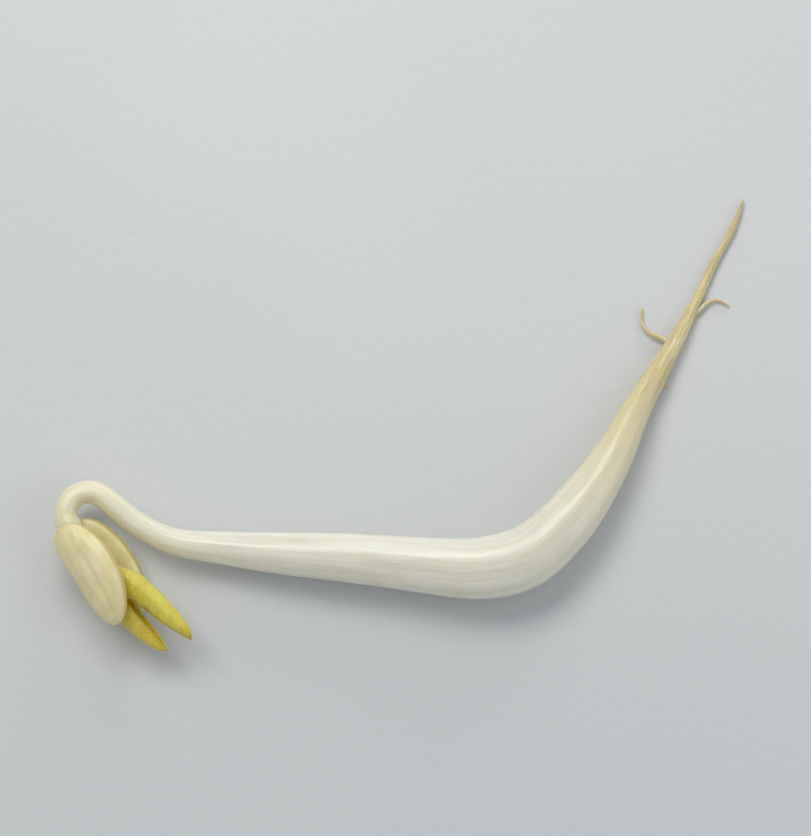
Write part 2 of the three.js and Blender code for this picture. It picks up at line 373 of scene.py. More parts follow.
def rod(course: Course, at: Array, turn: Array, lift: Array, caps: Pair) -> Skin:
    """A rod along a course, rounded over at its ends and flat where it meets the table.

    Args:
        course: its middle line and thickness.
        at: the positions of its rings.
        turn: the angles of its sides, in radians from the level way across.
        lift: how far each ring point stands out from the round.
        caps: how far from its first and its last end it starts to round over.

    Returns:
        Its skin.
    """
    _, across, over = course.axes(at)
    out = across[:, None] * np.cos(turn)[:, None] + over[:, None] * np.sin(turn)[:, None]
    length = course.length_at(at)
    past_end = np.minimum(length / caps[0], (course.length - length) / caps[1])
    narrowing = np.sqrt(1 - (1 - np.clip(past_end, END_SHARE, 1)) ** 2)[:, None]
    reach = (course.radius(at)[:, None] + lift) * narrowing
    rings = course.place(at)[:, None] + out * reach[..., None]
    rings[..., 2] = np.maximum(rings[..., 2], 0)
    ends = np.array([0.0, course.last])
    poles = course.place(ends) + course.axes(ends)[0] * np.array([[-END_POINT], [END_POINT]])
    return Skin(rings, (poles[0], poles[1]))


# ---------------------------------------------------------------- finishes


def tint(red: int, green: int, blue: int) -> Tint:
    """A colour's linear values from its screen values, which run from 0 to 255."""
    return tuple(((c / 255 + 0.055) / 1.055) ** 2.4 if c > 10 else c / 3295 for c in (red, green, blue))


@dataclass(frozen=True)
class Blots:
    """Noise that lets a second tone show in places.

    Its scale is in blots to the unit, and squeeze multiplies it along each way. The tone comes in where
    the noise goes from the first of its limits to the second, up to the strength.
    """

    scale: float
    detail: float = 3
    blur: float = 0.5
    squeeze: Spot | None = None
    limits: Pair = NOISE_SPREAD
    strength: float = 1.0


@dataclass(frozen=True)
class Flecks:
    """Scattered specks: how many to the unit, where they show, and from where to where each fades in."""

    scale: float
    rare: Blots
    size: Pair = (0.14, 0.03)


class Finish:
    """A material under construction, with short calls that add and wire its nodes."""

    def __init__(self, name: str) -> None:
        """Starts a material with one principled shader.

        Args:
            name: the material's name.
        """
        self.material = bpy.data.materials.new(name)
        self.material.use_nodes = True
        self.tree = self.material.node_tree
        self.tree.nodes.clear()
        self.shader = self.node("BsdfPrincipled")
        self.node("OutputMaterial", Surface=self.shader.outputs[0])

    def node(self, kind: str, **inputs: object) -> bpy.types.Node:
        """Adds a node and sets or wires inputs by their names.

        Args:
            kind: its type, without the ShaderNode in front.
            inputs: a value or a socket for each named input, with _ for a space.

        Returns:
            The node.
        """
        made = self.tree.nodes.new("ShaderNode" + kind)
        for name, value in inputs.items():
            self.feed(made.inputs[name.replace("_", " ")], value)
        return made

    def wire(self, kind: str, *values: object, **settings: str) -> Socket:
        """Adds a node and sets or wires its inputs in their order.

        Args:
            kind: its type, without the ShaderNode in front.
            values: a value or a socket for each input, in the order in which the node shows them.
            settings: its options, such as its operation.

        Returns:
            The first output that it shows.
        """
        made = self.node(kind)
        for name, setting in settings.items():
            setattr(made, name, setting)
        for socket, value in zip((socket for socket in made.inputs if socket.enabled), values):
            self.feed(socket, value)
        return next(socket for socket in made.outputs if socket.enabled)

    def feed(self, socket: Socket, value: object) -> None:
        """Sets an input's value, or wires it to a socket.

        Args:
            socket: the input.
            value: a number, a vector, a colour or a socket.
        """
        if isinstance(value, bpy.types.NodeSocket):
            self.tree.links.new(value, socket)
        elif isinstance(value, tuple) and socket.type == "RGBA":
            socket.default_value = (*value, 1)
        else:
            socket.default_value = value

    def set(self, **inputs: object) -> None:
        """Sets or wires inputs of the principled shader."""
        for name, value in inputs.items():
            self.feed(self.shader.inputs[name.replace("_", " ")], value)

    def mark(self, name: str, output: str) -> Socket:
        """Reads a mark kept at the mesh's points.

        Args:
            name: the mark's name.
            output: Fac for a number, or Vector.

        Returns:
            The mark.
        """
        made = self.node("Attribute")
        made.attribute_name = name
        return made.outputs[output]

    def place(self) -> Socket:
        """The place in the object, in metres."""
        return self.node("TexCoord").outputs["Object"]

    def scaled(self, vector: Socket, factors: Spot) -> Socket:
        """A vector with each part multiplied by its own factor."""
        return self.wire("VectorMath", vector, factors, operation="MULTIPLY")

    def sum(self, *terms: tuple[Socket, float]) -> Socket:
        """The sum of numbers, each times its own weight.

        Args:
            terms: each number and its weight.

        Returns:
            The sum.
        """
        total = 0.0
        for socket, weight in terms:
            total = self.wire("Math", socket, weight, total, operation="MULTIPLY_ADD")
        return total

    def times(self, first: Socket, second: Socket | float) -> Socket:
        """The product of two numbers."""
        return self.wire("Math", first, second, operation="MULTIPLY")

    def cells(self, skin: Socket, scale: float) -> Socket:
        """The distance to the nearest of many scattered points, about one unit over scale apart."""
        return self.wire("TexVoronoi", skin, scale)

    def net(self, skin: Socket, scale: float) -> Socket:
        """The distance to the nearest border between cells, which are about one unit over scale wide."""
        return self.wire("TexVoronoi", skin, scale, feature="DISTANCE_TO_EDGE")

    def span(
        self, value: Socket, low: float, high: float, to_low: float = 0, to_high: float = 1
    ) -> Socket:
        """A number moved smoothly from one range to another, and kept inside it."""
        return self.wire("MapRange", value, low, high, to_low, to_high, interpolation_type="SMOOTHSTEP")

    def grain(self, skin: Socket, blots: Blots) -> Socket:
        """The blots' bare noise over a skin, from 0 to 1."""
        place = self.scaled(skin, blots.squeeze) if blots.squeeze else skin
        return self.wire("TexNoise", place, blots.scale, blots.detail, blots.blur)

    def shown(self, grain: Socket, blots: Blots) -> Socket:
        """How much of the blots' tone their noise lets show."""
        return self.span(grain, *blots.limits, 0, blots.strength)

    def blotted(self, skin: Socket, blots: Blots) -> Socket:
        """How much of the blots' tone shows over a skin."""
        return self.shown(self.grain(skin, blots), blots)

    def flecked(self, skin: Socket, flecks: Flecks) -> Socket:
        """How much of the flecks' tone shows over a skin."""
        near = self.span(self.cells(skin, flecks.scale), *flecks.size)
        return self.times(near, self.blotted(skin, flecks.rare))

    def blend(self, share: Socket | float, first: object, second: object) -> Socket:
        """A mix of two colours, which is the second where share is 1."""
        return self.wire("Mix", share, first, second, data_type="RGBA")

    def ramp(self, value: Socket, stops: list[tuple[float, Tint]]) -> Socket:
        """A colour that changes with a number.

        Args:
            value: the number.
            stops: numbers and their colours, in order.

        Returns:
            The colour.
        """
        made = self.node("ValToRGB", Fac=value)
        made.color_ramp.interpolation = "B_SPLINE"
        elements = made.color_ramp.elements
        for _ in stops[2:]:
            elements.new(1)
        for element, (place, colour) in zip(elements, stops):
            element.position = place
            element.color = (*colour, 1)
        return made.outputs["Color"]

    def bump(self, height: Socket, depth: float) -> None:
        """Roughens the surface by a height from 0 to 1 and a depth in millimetres."""
        normal = self.node("Bump", Height=height, Strength=1.0, Distance=depth * MM).outputs["Normal"]
        self.set(Normal=normal, Coat_Normal=normal)

    def gloss(self, coat: float, roughness: float, ior: float) -> None:
        """Sets the weight and the roughness of the wet film, and how strongly the surface bends light."""
        self.set(Coat_Weight=coat, Coat_Roughness=roughness, IOR=ior)

    def flesh(self, depths: Spot, weight: float, share: Socket | None = None) -> None:
        """Lets light pass through.

        Args:
            depths: how deep red, green and blue light go, in millimetres.
            weight: how much of the light goes in.
            share: how much of those depths it reaches, where that changes over the surface.
        """
        deepest = max(depths)
        self.set(
            Subsurface_Weight=weight,
            Subsurface_Radius=tuple(depth / deepest for depth in depths),
            Subsurface_Scale=deepest * MM if share is None else self.times(share, deepest * MM),
        )


@dataclass(frozen=True)
class StemFinish:
    """Moist white flesh with faint lengthwise strands, creamier at the neck and tan at the root's tip, with
    painted shade where the skin sinks.
    """

    white: Tint = tint(235, 234, 222)
    # a water-soaked tone for the strands, and also the colour of the painted shade in sunk places
    soaked_and_shade: Tint = tint(212, 209, 189)
    cream: Tint = tint(228, 221, 190)
    neck: Tint = tint(232, 228, 206)
    strand: Tint = tint(247, 246, 238)
    root_cream: Tint = tint(214, 199, 142)
    root_tan: Tint = tint(192, 164, 108)
    fleck: Tint = tint(150, 116, 64)
    shoot: Tint = tint(222, 213, 140)
    strands: Blots = Blots(1.0, 3, 0.55, (3.0, 3.0, 0.10), (0.42, 0.66), 0.42)
    threads: Blots = Blots(1.0, 2, 0.5, (8.0, 8.0, 0.22), (0.50, 0.72), 0.28)
    blots: Blots = Blots(0.55, limits=(0.50, 0.72), strength=0.28)
    stains: Blots = Blots(1.0, 3, 0.6, (1.5, 1.5, 0.5), (0.46, 0.70), 0.7)
    flecks: Flecks = Flecks(1.3, Blots(0.9, 1, limits=(0.48, 0.60), strength=0.7))
    ripples: Blots = Blots(1.0, 2, squeeze=(1.6, 1.6, 0.5))
    # how strongly the painted shade darkens the sunk places
    sunk_shade_strength: float = 0.22
    root_fades: Pair = (0.30, 0.18)
    roughness: Pair = (0.28, 0.38)
    coat: float = 0.4
    coat_roughness: float = 0.2
    ior: float = 1.4
    light_depths: Spot = (1.7, 1.35, 0.75)
    light_weight: float = 0.85
    tip_depth: float = 0.16
    tip_fades: Pair = (0.02, 0.36)
    bump_depth: float = 0.06
    thread_bump: float = 0.25

    def material(self) -> bpy.types.Material:
        """Builds the material from the skin's marks: skin, along, and how far the skin sinks, whose dents,
        furrows and folds are darkened as painted shade.
        """
        finish = Finish("stem_flesh")
        skin = finish.mark("skin", "Vector")
        along = finish.mark("along", "Fac")
        tones = finish.ramp(along, [
            (0.00, self.root_tan), (0.05, self.root_cream), (0.23, self.root_cream),
            (0.33, self.cream), (0.43, self.white), (0.76, self.white),
            (0.86, self.neck), (0.96, self.cream), (1.00, self.shoot),
        ])
        strands, threads = finish.grain(skin, self.strands), finish.grain(skin, self.threads)
        colour = finish.blend(finish.shown(strands, self.strands), tones, self.soaked_and_shade)
        colour = finish.blend(finish.shown(threads, self.threads), colour, self.strand)
        colour = finish.blend(finish.blotted(skin, self.blots), colour, self.cream)
        # Painted shade: sunk places of the skin are darkened towards the soaked tone, by how deep they
        # sink.
        sunk_shade = finish.span(finish.mark("sunk_shade", "Fac"), 0, 1, 0, self.sunk_shade_strength)
        colour = finish.blend(sunk_shade, colour, self.soaked_and_shade)
        colour = self.stained(finish, skin, along, colour)
        roughness = finish.span(strands, *NOISE_SPREAD, *self.roughness)
        finish.set(Base_Color=colour, Roughness=roughness)
        finish.gloss(self.coat, self.coat_roughness, self.ior)
        shallower = finish.span(along, *self.tip_fades, self.tip_depth, 1)
        finish.flesh(self.light_depths, self.light_weight, shallower)
        ripples = finish.grain(skin, self.ripples)
        terms = (threads, self.thread_bump), (ripples, 1 - self.thread_bump)
        finish.bump(finish.sum(*terms), self.bump_depth)
        return finish.material

    def stained(self, finish: Finish, skin: Socket, along: Socket, colour: Socket) -> Socket:
        """Tans the root in streaks and flecks.

        Args:
            finish: the material under construction.
            skin: the skin laid out in space.
            along: the share of the way from the root's tip.
            colour: the colour without them.

        Returns:
            The colour with them.
        """
        on_root = finish.span(along, *self.root_fades)
        tanned = finish.times(finish.blotted(skin, self.stains), on_root)
        colour = finish.blend(tanned, colour, self.root_tan)
        flecked = finish.times(finish.flecked(skin, self.flecks), on_root)
        return finish.blend(flecked, colour, self.fleck)


@dataclass(frozen=True)
class SeedLeafFinish:
    """Satin cream-yellow flesh, finely wrinkled along its length and deeper in tone along the rim."""

    cream: Tint = tint(233, 225, 184)
    deep: Tint = tint(219, 206, 152)
    rim: Tint = tint(199, 174, 100)
    fleck: Tint = tint(160, 126, 68)
    creases: Blots = Blots(1.0, 3, 0.55, (0.4, 2.4, 2.4), (0.46, 0.68), 0.35)
    blots: Blots = Blots(0.6, 2, limits=(0.36, 0.70), strength=0.7)
    flecks: Flecks = Flecks(1.8, Blots(1.1, 1, limits=(0.50, 0.62), strength=0.5))
    pores: Blots = Blots(14.0, 2)
    rim_strength: float = 0.75
    roughness: Pair = (0.36, 0.44)
    coat: float = 0.3
    coat_roughness: float = 0.18
    ior: float = 1.42
    light_depths: Spot = (1.3, 1.0, 0.42)
    light_weight: float = 0.75
    bump_depth: float = 0.05
    crease_bump: float = 0.8

    def material(self) -> bpy.types.Material:
        """Builds the material from the skin's marks: skin and rim."""
        finish = Finish("seed_leaf_flesh")
        skin = finish.mark("skin", "Vector")
        creases = finish.grain(skin, self.creases)
        colour = finish.blend(finish.blotted(skin, self.blots), self.cream, self.deep)
        colour = finish.blend(finish.shown(creases, self.creases), colour, self.deep)
        on_rim = finish.span(finish.mark("rim", "Fac"), 0, 1, 0, self.rim_strength)
        colour = finish.blend(on_rim, colour, self.rim)
        colour = finish.blend(finish.flecked(skin, self.flecks), colour, self.fleck)
        roughness = finish.span(creases, *NOISE_SPREAD, *self.roughness)
        finish.set(Base_Color=colour, Roughness=roughness)
        finish.gloss(self.coat, self.coat_roughness, self.ior)
        finish.flesh(self.light_depths, self.light_weight)
        pores = finish.grain(skin, self.pores)
        terms = (creases, self.crease_bump), (pores, 1 - self.crease_bump)
        finish.bump(finish.sum(*terms), self.bump_depth)
        return finish.material


@dataclass(frozen=True)
class FirstLeafFinish:
    """A thin bright yellow blade with paler veins, quilted between them, and cream towards its stalk."""

    yellow: Tint = tint(242, 214, 84)
    gold: Tint = tint(228, 193, 56)
    vein: Tint = tint(243, 226, 148)
    stalk: Tint = tint(232, 222, 170)
    edge: Tint = tint(192, 157, 52)
    blots: Blots = Blots(0.9, limits=(0.34, 0.68))
    pores: Blots = Blots(14.0, 2)
    edge_strength: float = 0.6
    vein_strength: float = 0.5
    lace_scale: float = 2.8
    lace_wide: float = 0.10
    lace_strength: float = 0.30
    quilt_scale: float = 5.0
    roughness: float = 0.46
    coat: float = 0.2
    coat_roughness: float = 0.22
    ior: float = 1.4
    light_depths: Spot = (0.8, 0.65, 0.16)
    light_weight: float = 0.8
    bump_depth: float = 0.04
    quilt_bump: float = 0.6

    def material(self) -> bpy.types.Material:
        """Builds the material from the skin's marks: skin, vein, stalk and edge."""
        finish = Finish("first_leaf_blade")
        skin = finish.mark("skin", "Vector")
        colour = finish.blend(finish.blotted(skin, self.blots), self.yellow, self.gold)
        edge = finish.span(finish.mark("edge", "Fac"), 0, 1, 0, self.edge_strength)
        colour = finish.blend(edge, colour, self.edge)
        lines = finish.net(skin, self.lace_scale)
        lace = finish.span(lines, self.lace_wide, 0, 0, self.lace_strength)
        colour = finish.blend(lace, colour, self.vein)
        vein = finish.span(finish.mark("vein", "Fac"), 0, 1, 0, self.vein_strength)
        colour = finish.blend(vein, colour, self.vein)
        colour = finish.blend(finish.mark("stalk", "Fac"), colour, self.stalk)
        finish.set(Base_Color=colour, Roughness=self.roughness)
        finish.gloss(self.coat, self.coat_roughness, self.ior)
        finish.flesh(self.light_depths, self.light_weight)
        quilt, pores = finish.cells(skin, self.quilt_scale), finish.grain(skin, self.pores)
        terms = (quilt, self.quilt_bump), (pores, 1 - self.quilt_bump)
        finish.bump(finish.sum(*terms), self.bump_depth)
        return finish.material


@dataclass(frozen=True)
class HairFinish:
    """Fine clear hairs, some yellower than others."""

    pale: Tint = tint(240, 232, 168)
    yellow: Tint = tint(243, 226, 148)
    drift: Blots = Blots(700.0, 1, strength=0.6)
    roughness: float = 0.45
    ior: float = 1.4
    light_depths: Spot = (0.3, 0.3, 0.2)
    light_weight: float = 0.5

    def material(self) -> bpy.types.Material:
        """Builds the material, whose tone drifts from hair to hair."""
        finish = Finish("leaf_hair")
        place = finish.place()
        colour = finish.blend(finish.blotted(place, self.drift), self.pale, self.yellow)
        finish.set(Base_Color=colour, Roughness=self.roughness, IOR=self.ior)
        finish.flesh(self.light_depths, self.light_weight)
        return finish.material


@dataclass(frozen=True)
class TableFinish:
    """A plain pale matt surface."""

    pale: Tint = tint(217, 219, 219)
    cooler: Tint = tint(211, 214, 215)
    drift: Blots = Blots(18.0, 2, limits=(0.35, 0.65))
    tooth: Blots = Blots(1600.0, 2)
    roughness: float = 0.75
    shine: float = 0.3
    bump_depth: float = 0.03

    def material(self) -> bpy.types.Material:
        """Builds the material, with a faint drift of tone and a fine tooth."""
        finish = Finish("pale_table")
        place = finish.place()
        colour = finish.blend(finish.blotted(place, self.drift), self.pale, self.cooler)
        finish.set(Base_Color=colour, Roughness=self.roughness, Specular_IOR_Level=self.shine)
        finish.bump(finish.grain(place, self.tooth), self.bump_depth)
        return finish.material


# ---------------------------------------------------------------- stem and root


@dataclass(frozen=True)
class Stop:
    """A station of the stem: the middle line's place, the thickness, and the underside's clearance."""

    x: float
    y: float
    thick: float
    clear: float


@dataclass(frozen=True)
class Ribs:
    """Low round ribs along a rod, which may turn slowly round it.

    Their height is a share of what they stand on, and their twist is in radians for each millimetre.
    """

    count: int
    height: float
    twist: float
    start: float = 0.0

    def at(self, turn: Array, length: Array) -> Array:
        """Their height at these angles and lengths."""
        return self.height * np.cos(self.count * turn + self.twist * length + self.start)


@dataclass(frozen=True)
class Bruise:
    """A shallow dent or a small swelling of the stem's skin.

    It lies some way along from the root's tip and some way round, in degrees from the level side.
    """

    along: float
    round: float
    long: float
    wide: float
    lift: float

    def at(self, turn: Array, length: Array, radius: Array) -> Array:
        """How far it lifts the skin.

        Args:
            turn: the angles round the stem.
            length: the distances from the root's tip.
            radius: the stem's radii there.

        Returns:
            The lift at each.
        """
        aside = (turn - math.radians(self.round) + math.pi) % (2 * math.pi) - math.pi
        spot = bell(length, self.along, self.long) * bell(aside * radius, 0, self.wide)
        return self.lift * spot


@dataclass(frozen=True)
class SideRoot:
    """A side root, which swings aside and back, sinks to the table and ends in a point.

    Its share is its place between the root's tip, 0, and the neck, 1. Its tones are the places on the
    stem whose colours it takes at its start and its tip.
    """

    share: float
    heading: float
    length: float
    thick: float
    flare: float = 0.45
    flare_power: int = 6
    taper: float = 0.6
    swing: float = 26.0
    swing_pace: float = 3.0
    knobs: float = 0.05
    knob_pitch: float = 0.45
    first_seed: int = 6
    tones: Pair = (0.10, 0.02)
    skin_radius: float = 0.6
    skin_step: float = 3.1
    caps: Pair = (0.05, 0.35)
    stops: int = 5
    rings: int = 70
    sides: int = 20

    def line(self, start: Array) -> Course:
        """Its middle line, thicker where it leaves the root and thin at its tip.

        Args:
            start: where it leaves the middle of the root.

        Returns:
            The line.
        """
        share = np.linspace(0, 1, self.stops)
        way = np.radians(self.heading + self.swing * np.sin(self.swing_pace * share))
        places = np.column_stack([
            start[0] + share * self.length * np.cos(way),
            start[1] + share * self.length * np.sin(way),
            between(start[2], self.thick / 2, share),
        ])
        flare = self.flare * (1 - share) ** self.flare_power
        return Course(places, self.thick * (1 - self.taper * share + flare))

    def build(self, number: int, start: Array) -> bpy.types.Object:
        """Builds the side root.

        Args:
            number: which one it is.
            start: where it leaves the middle of the root.

        Returns:
            Its object.
        """
        line = self.line(start)
        at = np.linspace(0, line.last, self.rings)
        turn = 2 * math.pi * np.arange(self.sides) / self.sides
        length = line.length_at(at)[:, None]
        skin = rolled_out(length, turn, self.skin_radius) + (self.skin_step * number, 0, 0)
        uneven = mottle(skin, self.knob_pitch, self.first_seed + number)
        made = rod(line, at, turn, self.knobs * line.radius(at)[:, None] * uneven, self.caps)
        tone = between(*self.tones, length / line.length)
        made.marks = {
            "skin": skin,
            "along": np.broadcast_to(tone, made.rings.shape[:2]),
            # the side roots get no painted shade
            "sunk_shade": np.zeros(made.rings.shape[:2]),
        }
        return made.piece(f"side_root_{number}")


@dataclass
class Stem:
    """The plump stem, with the root at one end and the hooked neck and its node at the other.

    The root has furrows up to its collar, and the flesh past it has ribs, swells and fine strands. The
    inside of the hook is pressed into fine folds. Fades are places where a thing comes in or goes out.
    """

    course: tuple[Stop, ...] = (
        Stop(21.47, 14.43, 0.18, 0.16),
        Stop(20.74, 12.48, 0.38, 0.03),
        Stop(19.49, 10.28, 0.50, 0.00),
        Stop(18.49, 8.13, 0.62, -0.05),
        Stop(17.06, 5.35, 1.00, -0.06),
        Stop(15.49, 2.68, 1.40, 0.02),
        Stop(14.20, 0.38, 1.90, 0.10),
        Stop(12.99, -2.02, 2.45, 0.12),
        Stop(11.49, -4.42, 3.02, 0.06),
        Stop(9.69, -6.67, 3.50, -0.04),
        Stop(7.34, -8.62, 3.86, -0.12),
        Stop(4.39, -9.32, 3.78, -0.12),
        Stop(0.69, -9.07, 3.38, 0.00),
        Stop(-3.31, -8.67, 3.02, 0.12),
        Stop(-7.31, -8.37, 2.62, 0.18),
        Stop(-11.21, -8.02, 2.05, 0.30),
        Stop(-14.31, -7.57, 1.62, 0.62),
        Stop(-16.41, -6.60, 1.48, 0.95),
        Stop(-17.91, -5.44, 1.44, 1.15),
    )
    hook_start: Pair = (-18.56, -4.92)
    hook_radius: float = 1.40
    hook_thick: float = 1.42
    hook_from: float = 140.0
    hook_stops: int = 6
    climb_from: float = -0.2
    head_heading: float = 304.0
    head_height: float = 2.10
    head_dip: float = 3.0
    head_roll: float = 24.0
    shoot: tuple[Pair, ...] = (
        (0.00, 1.56), (0.45, 1.34), (0.90, 0.96), (1.50, 0.82), (2.20, 0.78),
    )
    side_roots: tuple[SideRoot, ...] = (
        SideRoot(0.155, 8, 2.6, 0.34),
        SideRoot(0.200, 122, 3.2, 0.36),
        SideRoot(0.268, 14, 1.7, 0.36),
    )
    bruises: tuple[Bruise, ...] = (
        Bruise(14.6, 62, 1.5, 0.42, -0.07),
        Bruise(20.8, 118, 2.3, 0.50, -0.09),
        Bruise(26.5, 48, 2.0, 0.55, -0.08),
        Bruise(31.4, 100, 1.2, 0.40, -0.05),
        Bruise(36.0, 72, 2.2, 0.40, -0.06),
        Bruise(41.5, 126, 1.6, 0.36, -0.05),
        Bruise(46.2, 80, 1.3, 0.30, -0.04),
    )
    ribs: tuple[Ribs, ...] = (Ribs(5, 0.014, 0.11), Ribs(3, 0.010, -0.07, 1.0))
    swells: tuple[Uneven, ...] = (Uneven(0.030, 3.4, 1), Uneven(0.012, 1.1, 2))
    strands: Uneven = Uneven(0.011, 1.0, 3, (3.2, 3.2, 0.30))
    furrows: tuple[Uneven, ...] = (Uneven(0.10, 1.0, 4, (2.4, 2.4, 0.6)), Uneven(0.10, 0.9, 5))
    collar_stop: int = 5
    collar_height: float = 0.05
    collar_long: float = 0.7
    collar_knobs: Ribs = Ribs(3, 0.4, 0.0)
    root_fades: Pair = (-3.0, 1.5)
    fold_height: float = 0.018
    fold_pitch: float = 0.34
    fold_sunk: float = 0.4
    fold_waver: float = 1.5
    fold_stray: Uneven = Uneven(3.4, 0.9, 10)
    fold_depth: float = 0.8
    fold_depth_stray: Uneven = Uneven(2.0, 0.7, 11)
    fold_depth_limits: Pair = (0.1, 1.6)
    fold_side_fades: Pair = (0.05, 0.9)
    fold_start_fades: Pair = (-0.9, 0.2)
    fold_end_fades: Pair = (-0.4, 0.3)
    # the sink, in millimetres, at which the painted shade is full
    sunk_shade_depth: float = 0.09
    skin_radius: float = 1.5
    caps: Pair = (0.8, 0.4)
    pitch: float = 0.105
    sides: int = 88

    def __post_init__(self) -> None:
        """Draws the middle line."""
        hook = self.hook_places()
        self.node = hook[-1]
        ahead = turned(0, self.head_dip, self.head_heading) @ np.array([1.0, 0, 0])
        stem = np.array([(stop.x, stop.y, stop.thick / 2 + stop.clear) for stop in self.course])
        shoot = np.array([self.node + along * ahead for along, _ in self.shoot])
        thick = [stop.thick for stop in self.course] + [self.hook_thick] * self.hook_stops
        self.line = Course(
            np.vstack([stem, hook[:-1], shoot]),
            np.array(thick + [thickness for _, thickness in self.shoot]),
        )
        self.plain = Course(stem, np.array([stop.thick for stop in self.course]))

    def hook_places(self) -> Array:
        """The hook's stops: an arc that climbs from the neck's height to the head's."""
        neck = self.course[-1]
        share = np.linspace(0, 1, self.hook_stops + 1)
        left = math.radians(self.hook_from + 90)
        centre = np.array(self.hook_start) + self.hook_radius * np.array([math.cos(left), math.sin(left)])
        bearing = np.radians(between(self.hook_from, self.head_heading, share) - 90)
        climb = eased(share, self.climb_from, 1)
        return np.column_stack([
            centre[0] + self.hook_radius * np.cos(bearing),
            centre[1] + self.hook_radius * np.sin(bearing),
            between(neck.thick / 2 + neck.clear, self.head_height, climb),
        ])

    def head(self) -> Seat:
        """The head's frame: +X to the seed leaves' far end, +Y to the stem, seed leaves above and below."""
        return Seat(self.node, turned(self.head_roll, self.head_dip, self.head_heading))

    def relief(self, length: Array, turn: Array, radius: Array, skin: Array) -> Array:
        """How far the skin stands out from the round.

        Args:
            length: each ring's distance from the root's tip.
            turn: each side's angle.
            radius: each ring's radius.
            skin: the skin laid out in space, as the finish reads it.

        Returns:
            The lift at each ring point.
        """
        stops = self.line.length_at(np.arange(self.line.last + 1.0))
        collar = stops[self.collar_stop]
        flesh = eased(length, *(collar + fade for fade in self.root_fades))
        ribs = sum(rib.at(turn, length) for rib in self.ribs)
        swells = sum(swell.at(skin) for swell in self.swells)
        lift = radius * flesh * (ribs + swells) + flesh * self.strands.at(skin)
        lift = lift + radius * (1 - flesh) * sum(furrow.at(skin) for furrow in self.furrows)
        ring = self.collar_height * bell(length, collar, self.collar_long)
        lift = lift + ring * (1 + self.collar_knobs.at(turn, length))
        hook = stops[len(self.course)], stops[len(self.course) + self.hook_stops]
        lift = lift + self.hook_folds(length, turn, skin, hook)
        return lift + sum(bruise.at(turn, length, radius) for bruise in self.bruises)

    def hook_folds(self, length: Array, turn: Array, skin: Array, hook: Pair) -> Array:
        """Fine folds across the inside of the hook.

        Args:
            length: each ring's distance from the root's tip.
            turn: each side's angle.
            skin: the skin laid out in space.
            hook: where the hook starts and ends.

        Returns:
            The folds' height at each ring point.
        """
        inside = eased(np.cos(turn), *self.fold_side_fades)
        started = eased(length, *(hook[0] + fade for fade in self.fold_start_fades))
        ended = eased(length, *(hook[1] + fade for fade in self.fold_end_fades))
        stray = self.fold_waver * np.sin(2 * turn) + self.fold_stray.at(skin)
        folds = np.cos(2 * math.pi * length / self.fold_pitch + stray) - self.fold_sunk
        deep = np.clip(self.fold_depth + self.fold_depth_stray.at(skin), *self.fold_depth_limits)
        return self.fold_height * inside * started * (1 - ended) * deep * folds

    def build(self) -> bpy.types.Object:
        """Builds the stem's skin, which stands for its CAD node."""
        count = round(self.line.length / self.pitch)
        length = np.linspace(0, self.line.length, count)
        at = self.line.at_length(length)
        length = length[:, None]
        turn = 2 * math.pi * (np.arange(self.sides) + 0.5) / self.sides - math.pi / 2
        skin = rolled_out(length, turn, self.skin_radius)
        lift = self.relief(length, turn[None, :], self.line.radius(at)[:, None], skin)
        made = rod(self.line, at, turn, lift, self.caps)
        made.marks = {
            "skin": skin,
            "along": np.broadcast_to(length / self.line.length, lift.shape),
            # painted shade: how far the skin sinks below the round, for the finish to darken
            "sunk_shade": eased(-lift, 0.0, self.sunk_shade_depth),
        }
        return made.piece("stem")

    def build_side_roots(self) -> list[bpy.types.Object]:
        """Builds the side roots, each from the middle of the root outwards."""
        made = []
        for number, side_root in enumerate(self.side_roots, 1):
            at = self.plain.at_length(np.array([side_root.share * self.plain.length]))
            made.append(side_root.build(number, self.plain.place(at)[0]))
        return made


# ---------------------------------------------------------------- seed leaves


class Half(Enum):
    """Which of the two seed leaves: its name, and the side of the head's plane that it is on."""

    UPPER = 1
    LOWER = -1


@dataclass(frozen=True)
class Groove:
    """A shallow groove along a seed leaf.

    Its place and width are across the leaf, which runs from -1 to 1. Its fades are shares of the
    leaf's length.
    """

    depth: float
    place: float
    wide: float
    start_fades: Pair
    end_fades: Pair

    def at(self, across: Array, share: Array) -> Array:
        """Its depth at these places across and along the leaf."""
        run = eased(share, *self.start_fades) * (1 - eased(share, *self.end_fades))
        return self.depth * bell(across, self.place, self.wide) * run


